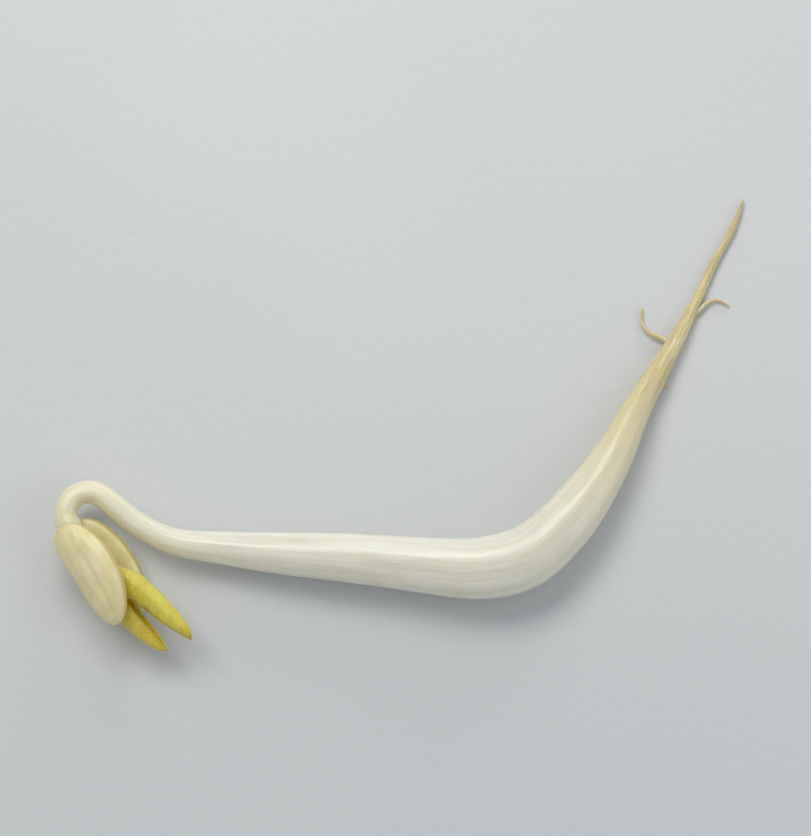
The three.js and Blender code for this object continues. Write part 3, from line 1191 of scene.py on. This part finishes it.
@dataclass
class SeedLeaf:
    """Half a bean, which clasps the node by its base end: flat inside and domed outside.

    Its outline and section are a circle's, bent by powers: skew moves the widest place along, ends
    makes the two ends blunter, and dome, face and thinning shape the outside, the inside and the way
    the leaf thins towards its ends.
    """

    half: Half
    length: float = 7.0
    width: float = 2.9
    thick: float = 1.36
    start: float = -0.15
    inside: float = 0.46
    spread: float = 5.5
    bow: float = 0.45
    rim: float = 0.34
    skew_power: float = 0.88
    ends_power: float = 2.5
    dome_power: float = 0.85
    face_power: float = 0.4
    thinning_power: float = 0.8
    wrinkles: tuple[Uneven, ...] = (
        Uneven(0.040, 1.0, 11, (0.55, 2.4, 1.0)),
        Uneven(0.020, 1.0, 12, (1.0, 5.0, 2.0)),
        Uneven(0.045, 1.9, 13),
    )
    crease: Groove = Groove(0.05, 0.15, 0.12, (0.08, 0.35), (1.0, 1.1))
    channel: Groove = Groove(0.10, 0.10, 0.45, (0.05, 0.25), (0.75, 0.98))
    outside_fades: Pair = (0.0, 0.5)
    inside_fades: Pair = (-0.6, -0.1)
    rim_tone_wide: float = 0.22
    base_tone: float = 0.6
    base_tone_long: float = 0.10
    skin_step: float = 4.0
    steps: int = 120
    sides: int = 112

    @property
    def cad_node(self) -> str:
        """The CAD node that the leaf stands for."""
        return f"seed_leaf_{self.half.name.lower()}"

    def build(self, head: Seat) -> bpy.types.Object:
        """Builds the seed leaf's skin in the head's frame.

        Args:
            head: the head's frame.

        Returns:
            Its object.
        """
        over = self.half.value
        step = np.arange(1, self.steps)[:, None] / self.steps
        share = (1 - np.cos(math.pi * step)) / 2
        turn = 2 * math.pi * np.arange(self.sides)[None, :] / self.sides
        stretch = np.abs(2 * share**self.skew_power - 1)
        fullness = np.sqrt(1 - stretch**self.ends_power)
        rise = np.sin(turn) * over
        across = np.cos(turn)
        dome = np.maximum(rise, 0) ** self.dome_power * (1 - self.rim)
        face = np.maximum(-rise, 0) ** self.face_power * self.rim
        height = fullness**self.thinning_power * (dome - face)
        x = np.broadcast_to(share * self.length, height.shape)
        y = self.bow * np.sin(math.pi * share) + fullness * self.width / 2 * across
        z = self.thick * (self.rim + height)
        skin = np.stack([x, y, (z + self.skin_step) * over], -1)
        z = z + self.relief(skin, rise, across, share, fullness)
        ends = [np.array([end * self.length, 0, over * self.thick * self.rim]) for end in (0, 1)]
        seat = head.seat((self.start, 0, over * self.inside), turned(0, -over * self.spread))
        rings = seat.out(np.stack([x, y, over * z], -1))
        rings[..., 2] = np.maximum(rings[..., 2], 0)
        base = self.base_tone * (1 - eased(share, 0.0, self.base_tone_long))
        made = Skin(rings, (seat.out(ends[0]), seat.out(ends[1])), {
            "skin": skin,
            "rim": np.clip(bell(rise, 0.0, self.rim_tone_wide) + base, 0, 1),
        })
        return made.piece(f"{self.cad_node}_skin")

    def relief(self, skin: Array, rise: Array, across: Array, share: Array, fullness: Array) -> Array:
        """How far the skin stands out of the plain half bean, outwards from its twin.

        Args:
            skin: the plain skin's points, as the finish reads them.
            rise: how far round the outside each point is, from -1 for the flat face to 1.
            across: its place from side to side, from -1 to 1.
            share: its share of the length.
            fullness: how full the leaf is there.

        Returns:
            The lift at each point.
        """
        outside = eased(rise, *self.outside_fades)
        inside = 1 - eased(rise, *self.inside_fades)
        wrinkles = fullness * sum(wrinkle.at(skin) for wrinkle in self.wrinkles)
        lift = outside * (wrinkles - self.crease.at(across, share))
        return lift + inside * self.channel.at(across, share)


# ---------------------------------------------------------------- first leaves


class Side(Enum):
    """Which of the two first leaves: the one on the stem's side of the head, or the one away from it."""

    INNER = 1
    OUTER = -1


@dataclass(frozen=True)
class Hairs:
    """Short bent hairs on a leaf's outer face, more of them along its midrib and its margins.

    A hair's length is in millimetres, and its lean towards the leaf's tip and its sway to one side are
    shares of its length. Its bends give its height and its way aside as shares of these, root first.
    """

    count: int = 320
    length: Pair = (0.10, 0.23)
    lean: Pair = (0.2, 1.1)
    sway: Pair = (-0.5, 0.5)
    along: Pair = (0.10, 0.99)
    anywhere: float = 0.5
    on_midrib: float = 0.2
    midrib_spread: float = 0.05
    bends: tuple[Pair, ...] = ((-0.02, 0.0), (0.5, 0.22), (0.85, 0.75))
    girths: Pair = (0.009, 0.006)
    corners: int = 3

    def place(self, draw: np.random.Generator, shape: tuple[int, ...]) -> tuple[int, int]:
        """Picks where a hair grows.

        Args:
            draw: the source of random numbers.
            shape: the number of rows and columns of the leaf's outer face.

        Returns:
            The row and the column.
        """
        row = int(shape[0] * draw.uniform(*self.along))
        across = (draw.uniform(0, 1), draw.normal(0.5, self.midrib_spread), draw.choice([0.0, 1.0]))
        odds = (self.anywhere, self.on_midrib, 1 - self.anywhere - self.on_midrib)
        return row, round((shape[1] - 1) * min(max(across[draw.choice(3, p=odds)], 0), 1))

    def build(self, name: str, face: Array, seed: int) -> bpy.types.Object:
        """Builds the hairs, each a bent spike with its root in the leaf.

        Args:
            name: their object's name.
            face: the points of the leaf's outer face, in rows from its stalk to its tip.
            seed: which of many scatters.

        Returns:
            Their object.
        """
        draw = np.random.default_rng(seed)
        down, across = np.gradient(face, axis=0), np.gradient(face, axis=1)
        out = np.cross(across, down)
        out /= np.linalg.norm(out, axis=-1)[..., None]
        down /= np.linalg.norm(down, axis=-1)[..., None]
        angles = 2 * math.pi * np.arange(self.corners) / self.corners
        points, faces = [], []
        for _ in range(self.count):
            place = self.place(draw, face.shape)
            aside = np.cross(out[place], down[place])
            ring = np.outer(np.cos(angles), down[place]) + np.outer(np.sin(angles), aside)
            length, lean, sway = (draw.uniform(*reach) for reach in (self.length, self.lean, self.sway))
            bent = lean * down[place] + sway * aside
            spots = [face[place] + length * (high * out[place] + far * bent) for high, far in self.bends]
            first = len(points)
            for spot, girth in zip(spots, self.girths):
                points.extend(spot + girth * ring)
            points.append(spots[-1])
            faces.extend(self.spike(first))
        return mesh_object(name, np.array(points), faces)

    def spike(self, first: int) -> list[tuple[int, ...]]:
        """The faces of one hair.

        Args:
            first: the number of its first point.

        Returns:
            Its faces.
        """
        half_way, tip = first + self.corners, first + 2 * self.corners
        faces = []
        for corner in range(self.corners):
            after = (corner + 1) % self.corners
            faces.append((first + corner, first + after, half_way + after, half_way + corner))
            faces.append((half_way + corner, half_way + after, tip))
        return [*faces, tuple(first + corner for corner in reversed(range(self.corners)))]


@dataclass
class FirstLeaf:
    """A leaf folded along its midrib: a stalk that widens into a thin blade, which ends in a point.

    It is laid out by shares of its length, and across by places from -1 at one margin, over the midrib
    at 0, to 1 at the other. Its sizes are shares of the fold's full size where they aren't lengths.
    """

    side: Side
    lean: float
    length: float
    arm: float
    bend: float
    start: float = 2.35
    fold_radius: float = 0.35
    fold_share: float = 0.5
    solid_thick: float = 0.60
    thick: float = 0.17
    thin_share: float = 0.45
    splay: float = 9.0
    blade_fades: Pair = (0.02, 0.42)
    narrows_from: float = 0.35
    point_power: float = 2.2
    taper_power: float = 0.75
    rounds_from: float = 0.92
    closes_to: float = 0.997
    stalk_size: float = 0.46
    tip_size: float = 0.25
    least_arm: float = 0.03
    stalk_offset: float = 0.14
    blade_offset: float = 0.68
    stalk_end: Spot = (-0.05, 0.26, 0.0)
    tip_end: Spot = (0.02, 0.15, 0.0)
    margin_edge: Spot = (0.0, -0.05, 0.0)
    margin_power: int = 5
    wave: float = 0.10
    wave_pace: float = 2.3
    wave_power: int = 2
    ripple: float = 0.05
    ripple_pace: float = 7.1
    sides_apart: float = 2.0
    curl: float = 0.30
    puff: float = 0.040
    puff_fades: Pair = (0.1, 0.4)
    ridge: float = 0.022
    veins: int = 10
    vein_span: float = 0.72
    vein_slant: float = 0.16
    vein_bow: float = 1.3
    vein_stray: float = 0.30
    stray_pace: float = 9.0
    vein_step: float = 0.25
    vein_wide: float = 0.10
    vein_fades: Pair = (0.12, 0.30)
    vein_root_fades: Pair = (0.04, 0.15)
    margin_vein: float = 0.3
    tip_vein: float = 0.4
    midrib_wide: float = 0.085
    stalk_tone_fades: Pair = (0.03, 0.30)
    tip_tone_fades: Pair = (0.84, 1.02)
    points: int = 57
    steps: int = 200
    hairs: Hairs = Hairs()

    @property
    def cad_node(self) -> str:
        """The CAD node that the leaf stands for."""
        return f"first_leaf_{self.side.name.lower()}"

    def seat(self, head: Seat) -> Seat:
        """The leaf's own frame: +X to its tip, +Y to its midrib."""
        roll = 0 if self.side is Side.INNER else 180
        return head.seat((self.start, 0, 0), turned(roll, 0, self.lean))

    def strip(self, across: Array, arm: Array) -> tuple[Array, Array, Array, Array]:
        """The middle of the folded blade in section: an arc round the midrib, then straight arms.

        Args:
            across: from one margin, -1, over the midrib to the other, 1.
            arm: the length of the straight arms.

        Returns:
            Its y and z, and the y and z of the way that faces out.
        """
        splay = math.radians(self.splay)
        side, reach = np.sign(across), np.abs(across) / self.fold_share
        turn = np.minimum(reach, 1) * (math.pi / 2 - splay) + 0 * arm
        out = np.maximum(reach - 1, 0) * arm
        y = self.fold_radius * np.cos(turn) - out * math.cos(splay)
        z = side * (self.fold_radius * np.sin(turn) + out * math.sin(splay))
        return y, z, np.cos(turn), side * np.sin(turn)

    def margin_lift(self, share: Array, across: Array, blade: Array, reach: Array) -> Array:
        """How far the margins wave and ripple to one side, and curl in.

        Args:
            share: the share of the leaf's length.
            across: from margin to margin, -1 to 1.
            blade: how full the blade is there.
            reach: the length of its arms.

        Returns:
            The way to one side at each point.
        """
        side, out, along = np.sign(across), np.abs(across), share * self.length
        margin = out**self.margin_power
        wave = self.wave * np.sin(self.wave_pace * along) * out**self.wave_power
        ripple = self.ripple * np.sin(self.ripple_pace * along + self.sides_apart * side) * margin
        return reach * (wave + ripple) - self.curl * margin * blade * side

    def outline(self, share: Array) -> tuple[Array, Array, Array, Array]:
        """How the stalk opens into the blade, and how the blade narrows and ends.

        Args:
            share: the share of the leaf's length.

        Returns:
            How far it has opened, how far it hasn't narrowed, how far its tip hasn't rounded over, and
            the size of its fold.
        """
        opened = eased(share, *self.blade_fades)
        narrowed = np.maximum(share - self.narrows_from, 0) / (1 - self.narrows_from)
        taper = (1 - narrowed**self.point_power) ** self.taper_power
        rounded = np.clip((share - self.rounds_from) / (1 - self.rounds_from), 0, self.closes_to)
        point = np.sqrt(1 - rounded**2)
        size = between(self.stalk_size, 1, opened) * between(self.tip_size, 1, taper) * point
        return opened, taper, point, size

    def build(self, head: Seat) -> bpy.types.Object:
        """Builds the blade's skin and keeps its outer face for the hairs.

        Args:
            head: the head's frame.

        Returns:
            Its object.
        """
        share = np.linspace(0, 1, self.steps)[:, None]
        across = np.linspace(-1, 1, self.points)[None, :]
        opened, taper, point, size = self.outline(share)
        blade = opened * taper
        reach = self.arm * np.maximum(blade, self.least_arm)
        y, z, out_y, out_z = self.strip(across, reach / size)
        vein = self.vein_pattern(share, across) * opened * between(self.tip_vein, 1, taper)
        margin = np.abs(across) ** self.margin_power
        puff = self.puff * (1 - vein) * blade * eased(np.abs(across), *self.puff_fades) * (1 - margin)
        raised = self.solid_thick / 2 * size + self.ridge * vein + puff
        midrib = between(self.stalk_offset, self.blade_offset, blade)
        aside = self.margin_lift(share, across, blade, reach)
        outer = np.stack([0 * y, midrib + size * y + raised * out_y, size * z + raised * out_z + aside], -1)
        thin = self.thick * between(self.thin_share, 1, size) * point
        inner = outer - np.stack([0 * out_y, out_y, out_z], -1) * thin[..., None]
        edge = [(outer[:, i] + inner[:, i]) / 2 + self.margin_edge for i in (0, -1)]
        ring = np.concatenate([outer, edge[1][:, None], inner[:, ::-1], edge[0][:, None]], 1)
        along = share * self.length
        middle = np.column_stack([along, self.bend * share * along, 0 * share])
        ends = middle[0] + self.stalk_end, middle[-1] + self.tip_end
        ring = ring + middle[:, None]
        seat = self.seat(head)
        self.outside = seat.out(outer + middle[:, None])
        made = Skin(seat.out(ring), (seat.out(ends[0]), seat.out(ends[1])), {
            "skin": ring,
            "vein": self.round_ring(vein),
            "stalk": self.round_ring(1 - eased(share, *self.stalk_tone_fades) + 0 * vein),
            "edge": self.round_ring(np.clip(margin + eased(share, *self.tip_tone_fades), 0, 1)),
        })
        return made.piece(f"{self.cad_node}_blade")

    @staticmethod
    def round_ring(values: Array) -> Array:
        """Values given across the blade, carried round both faces and both margins."""
        return np.concatenate([values, values[:, -1:], values[:, ::-1], values[:, :1]], 1)

    def vein_pattern(self, share: Array, across: Array) -> Array:
        """Where the midrib and the side veins run.

        Args:
            share: the share of the leaf's length.
            across: from margin to margin, -1 to 1.

        Returns:
            From 0 between the veins to 1 on them.
        """
        side, reach = np.sign(across), np.abs(across)
        stray = self.vein_stray * np.sin(self.stray_pace * share + self.sides_apart * side)
        start = share - self.vein_slant * reach**self.vein_bow
        beat = start * self.veins / self.vein_span + stray + self.vein_step * side
        gap = np.abs((beat + 0.5) % 1 - 0.5)
        strength = eased(share, *self.vein_fades) * eased(reach, *self.vein_root_fades)
        side_veins = bell(gap, 0, self.vein_wide) * strength * between(1, self.margin_vein, reach**2)
        return np.maximum(side_veins, bell(reach, 0, self.midrib_wide))

    def build_hairs(self, seed: int) -> bpy.types.Object:
        """Builds the hairs of the blade, once it is built, by one of many scatters."""
        return self.hairs.build(f"{self.cad_node}_hairs", self.outside, seed)


@dataclass
class Bud:
    """The bud at the shoot's tip: folded leaflets round it, and a stipule at each leaf's stalk."""

    start: float = 2.0
    leaflets: int = 3
    leaflet: Pair = (1.2, 0.34)
    leaflet_roll: float = 40.0
    leaflet_dip: float = -7.0
    leaflet_offset: float = 0.12
    stipule: Pair = (0.8, 0.36)
    stipule_back: float = 0.3
    stipule_offset: float = 0.34
    stipule_dip: float = -12.0
    flatness: float = 0.6
    widest_power: float = 0.7
    fullness_power: float = 0.8
    end_rings: Pair = (0.02, 0.98)
    ribs: Ribs = Ribs(6, 0.08, 0.0)
    keel_wide: float = 0.3
    stalk_tones: Pair = (0.9, 0.5)
    rings: int = 30
    sides: int = 24

    def scale(self, seat: Seat, sizes: Pair) -> Skin:
        """A small pointed scale, thick at its base.

        Args:
            seat: its frame, with +X to its point.
            sizes: its length and its width.

        Returns:
            Its skin.
        """
        length, width = sizes
        share = np.linspace(*self.end_rings, self.rings)[:, None]
        turn = 2 * math.pi * np.arange(self.sides)[None, :] / self.sides
        full = np.sin(math.pi * share**self.widest_power) ** self.fullness_power
        reach = full * width / 2 * (1 + self.ribs.at(turn, share))
        across, over = reach * np.cos(turn), self.flatness * reach * np.sin(turn)
        ring = np.stack(np.broadcast_arrays(share * length, across, over), -1)
        ends = [seat.out(np.array([end * length, 0, 0])) for end in (0, 1)]
        plain = np.zeros(ring.shape[:2])
        return Skin(seat.out(ring), (ends[0], ends[1]), {
            "skin": ring,
            "vein": plain + bell(np.cos(turn), 0, self.keel_wide),
            "stalk": plain + between(*self.stalk_tones, share),
            "edge": plain,
        })

    def build(self, head: Seat) -> list[bpy.types.Object]:
        """Builds the leaflets and the stipules round the shoot's tip.

        Args:
            head: the head's frame.

        Returns:
            Their objects.
        """
        made = []
        for i in range(self.leaflets):
            roll = 360 / self.leaflets * i + self.leaflet_roll
            seat = head.seat((self.start, 0, 0), turned(roll, self.leaflet_dip))
            seat = seat.seat((0, 0, self.leaflet_offset), turned())
            made.append(self.scale(seat, self.leaflet).piece(f"bud_leaflet_{i + 1}"))
        for i, over in enumerate((1, -1)):
            place = (self.start - self.stipule_back, 0, self.stipule_offset * over)
            seat = head.seat(place, turned(0, self.stipule_dip * over))
            made.append(self.scale(seat, self.stipule).piece(f"stipule_{i + 1}"))
        return made


# ---------------------------------------------------------------- the sprout


@dataclass
class Sprout:
    """The whole sprout, dressed and riding on the frame."""

    stem: Stem = field(default_factory=Stem)
    seed_leaves: tuple[SeedLeaf, ...] = (SeedLeaf(Half.UPPER), SeedLeaf(Half.LOWER))
    first_leaves: tuple[FirstLeaf, ...] = (
        FirstLeaf(Side.INNER, lean=16, length=8.1, arm=0.86, bend=0.040),
        FirstLeaf(Side.OUTER, lean=9, length=7.4, arm=0.80, bend=0.015),
    )
    bud: Bud = field(default_factory=Bud)

    def build(self) -> None:
        """Builds every piece of the sprout."""
        head = self.stem.head()
        flesh = StemFinish().material()
        self.dress(self.stem.build(), flesh, "stem", "stem_and_root")
        for side_root in self.stem.build_side_roots():
            self.dress(side_root, flesh, "stem")
        cream = SeedLeafFinish().material()
        for leaf in self.seed_leaves:
            self.dress(leaf.build(head), cream, "seed_leaf", leaf.cad_node)
        yellow = FirstLeafFinish().material()
        clear = HairFinish().material()
        for seed, leaf in enumerate(self.first_leaves):
            self.dress(leaf.build(head), yellow, "first_leaf", leaf.cad_node)
            self.dress(leaf.build_hairs(seed), clear, "first_leaf")
        for piece in self.bud.build(head):
            self.dress(piece, yellow, "first_leaf")

    @staticmethod
    def dress(
        piece: bpy.types.Object, material: bpy.types.Material, slot: str, node: str = ""
    ) -> None:
        """Gives a piece its finish, sets it on the frame and reports it.

        Args:
            piece: the piece.
            material: its finish.
            slot: the record's material slot that the finish belongs to; not used.
            node: the CAD node that it stands for, if it stands for one.
        """
        piece.data.materials.append(material)
        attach(piece, "root")
        if node:
            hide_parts(node)
            low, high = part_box(node)
            points = np.array([vertex.co for vertex in piece.data.vertices])
            past = max(*(np.array(low) - points.min(0)), *(points.max(0) - np.array(high)))
            LOG.info("%s stands for %s and reaches %.2f mm past its box", piece.name, node, past / MM)
        piece.data.calc_loop_triangles()
        LOG.info("%s: %d triangles", piece.name, len(piece.data.loop_triangles))


# ---------------------------------------------------------------- table, light and camera


@dataclass(frozen=True)
class Lamp:
    """A soft oblong light that faces the sprout: its place and sides in millimetres, and its watts."""

    name: str
    place: Spot
    sides: Pair
    power: float
    colour: Tint

    def build(self) -> None:
        """Builds the light."""
        lamp = bpy.data.lights.new(self.name, "AREA")
        lamp.shape = "RECTANGLE"
        lamp.size, lamp.size_y = (side * MM for side in self.sides)
        lamp.energy = self.power
        lamp.color = self.colour
        made = bpy.data.objects.new(self.name, lamp)
        made.location = Vector(self.place) * MM
        made.rotation_euler = made.location.to_track_quat("Z", "Y").to_euler()
        bpy.context.scene.collection.objects.link(made)


@dataclass
class Studio:
    """A pale table, soft light from above and a camera that looks down on the sprout."""

    table_side: float = 1600.0
    table_drop: float = 0.01
    lamps: tuple[Lamp, ...] = (
        Lamp("key", (-62, 112, 170), (170, 85), 0.235, (1.0, 0.985, 0.955)),
        Lamp("fill", (170, -60, 120), (170, 170), 0.08, (0.95, 0.975, 1.0)),
        Lamp("rim", (60, 190, 70), (120, 60), 0.08, (1.0, 0.99, 0.97)),
    )
    room_tint: Tint = (0.93, 0.96, 1.0)
    room_strength: float = 0.39
    elevation: float = 80.0
    lens: float = 110.0
    filled: float = 0.86
    clip_shares: Pair = (0.05, 20.0)

    def build(self) -> None:
        """Builds the table, the lights, the room's own light and the camera."""
        self.build_table()
        for lamp in self.lamps:
            lamp.build()
        self.build_room()
        self.build_camera()

    def build_table(self) -> None:
        """Builds the table, a plain square just under the sprout."""
        half = self.table_side / 2
        corners = np.array([(-half, -half, 0), (half, -half, 0), (half, half, 0), (-half, half, 0)])
        table = mesh_object("table", corners - (0, 0, self.table_drop), [(0, 1, 2, 3)])
        table.data.materials.append(TableFinish().material())

    def build_room(self) -> None:
        """Builds the even light that comes from all round."""
        world = bpy.data.worlds.new("soft_room")
        world.use_nodes = True
        room = world.node_tree.nodes["Background"]
        room.inputs["Color"].default_value = (*self.room_tint, 1)
        room.inputs["Strength"].default_value = self.room_strength
        bpy.context.scene.world = world
        bpy.context.scene.view_settings.view_transform = "Standard"

    def build_camera(self) -> None:
        """Builds the camera, so that the sprout's length fills the set share of the picture's width."""
        low, high = CAD_BOX
        camera = bpy.data.cameras.new("camera")
        camera.lens = self.lens
        seen_width = (high.x - low.x) / self.filled
        sensor_width = camera.sensor_width * PICTURE[0] / max(PICTURE)
        away = seen_width * self.lens / sensor_width
        lift = math.radians(self.elevation)
        back = Vector((0, -math.cos(lift), math.sin(lift)))
        made = bpy.data.objects.new("camera", camera)
        made.location = (low + high) / 2 + back * away
        made.rotation_euler = back.to_track_quat("Z", "Y").to_euler()
        camera.clip_start, camera.clip_end = (away * share for share in self.clip_shares)
        bpy.context.scene.collection.objects.link(made)
        bpy.context.scene.camera = made


def main() -> None:
    """Builds the sprout, then the table, the light and the camera."""
    logging.basicConfig(level=logging.INFO, format="%(name)s: %(message)s")
    Sprout().build()
    Studio().build()


if __name__ == "__main__":
    main()
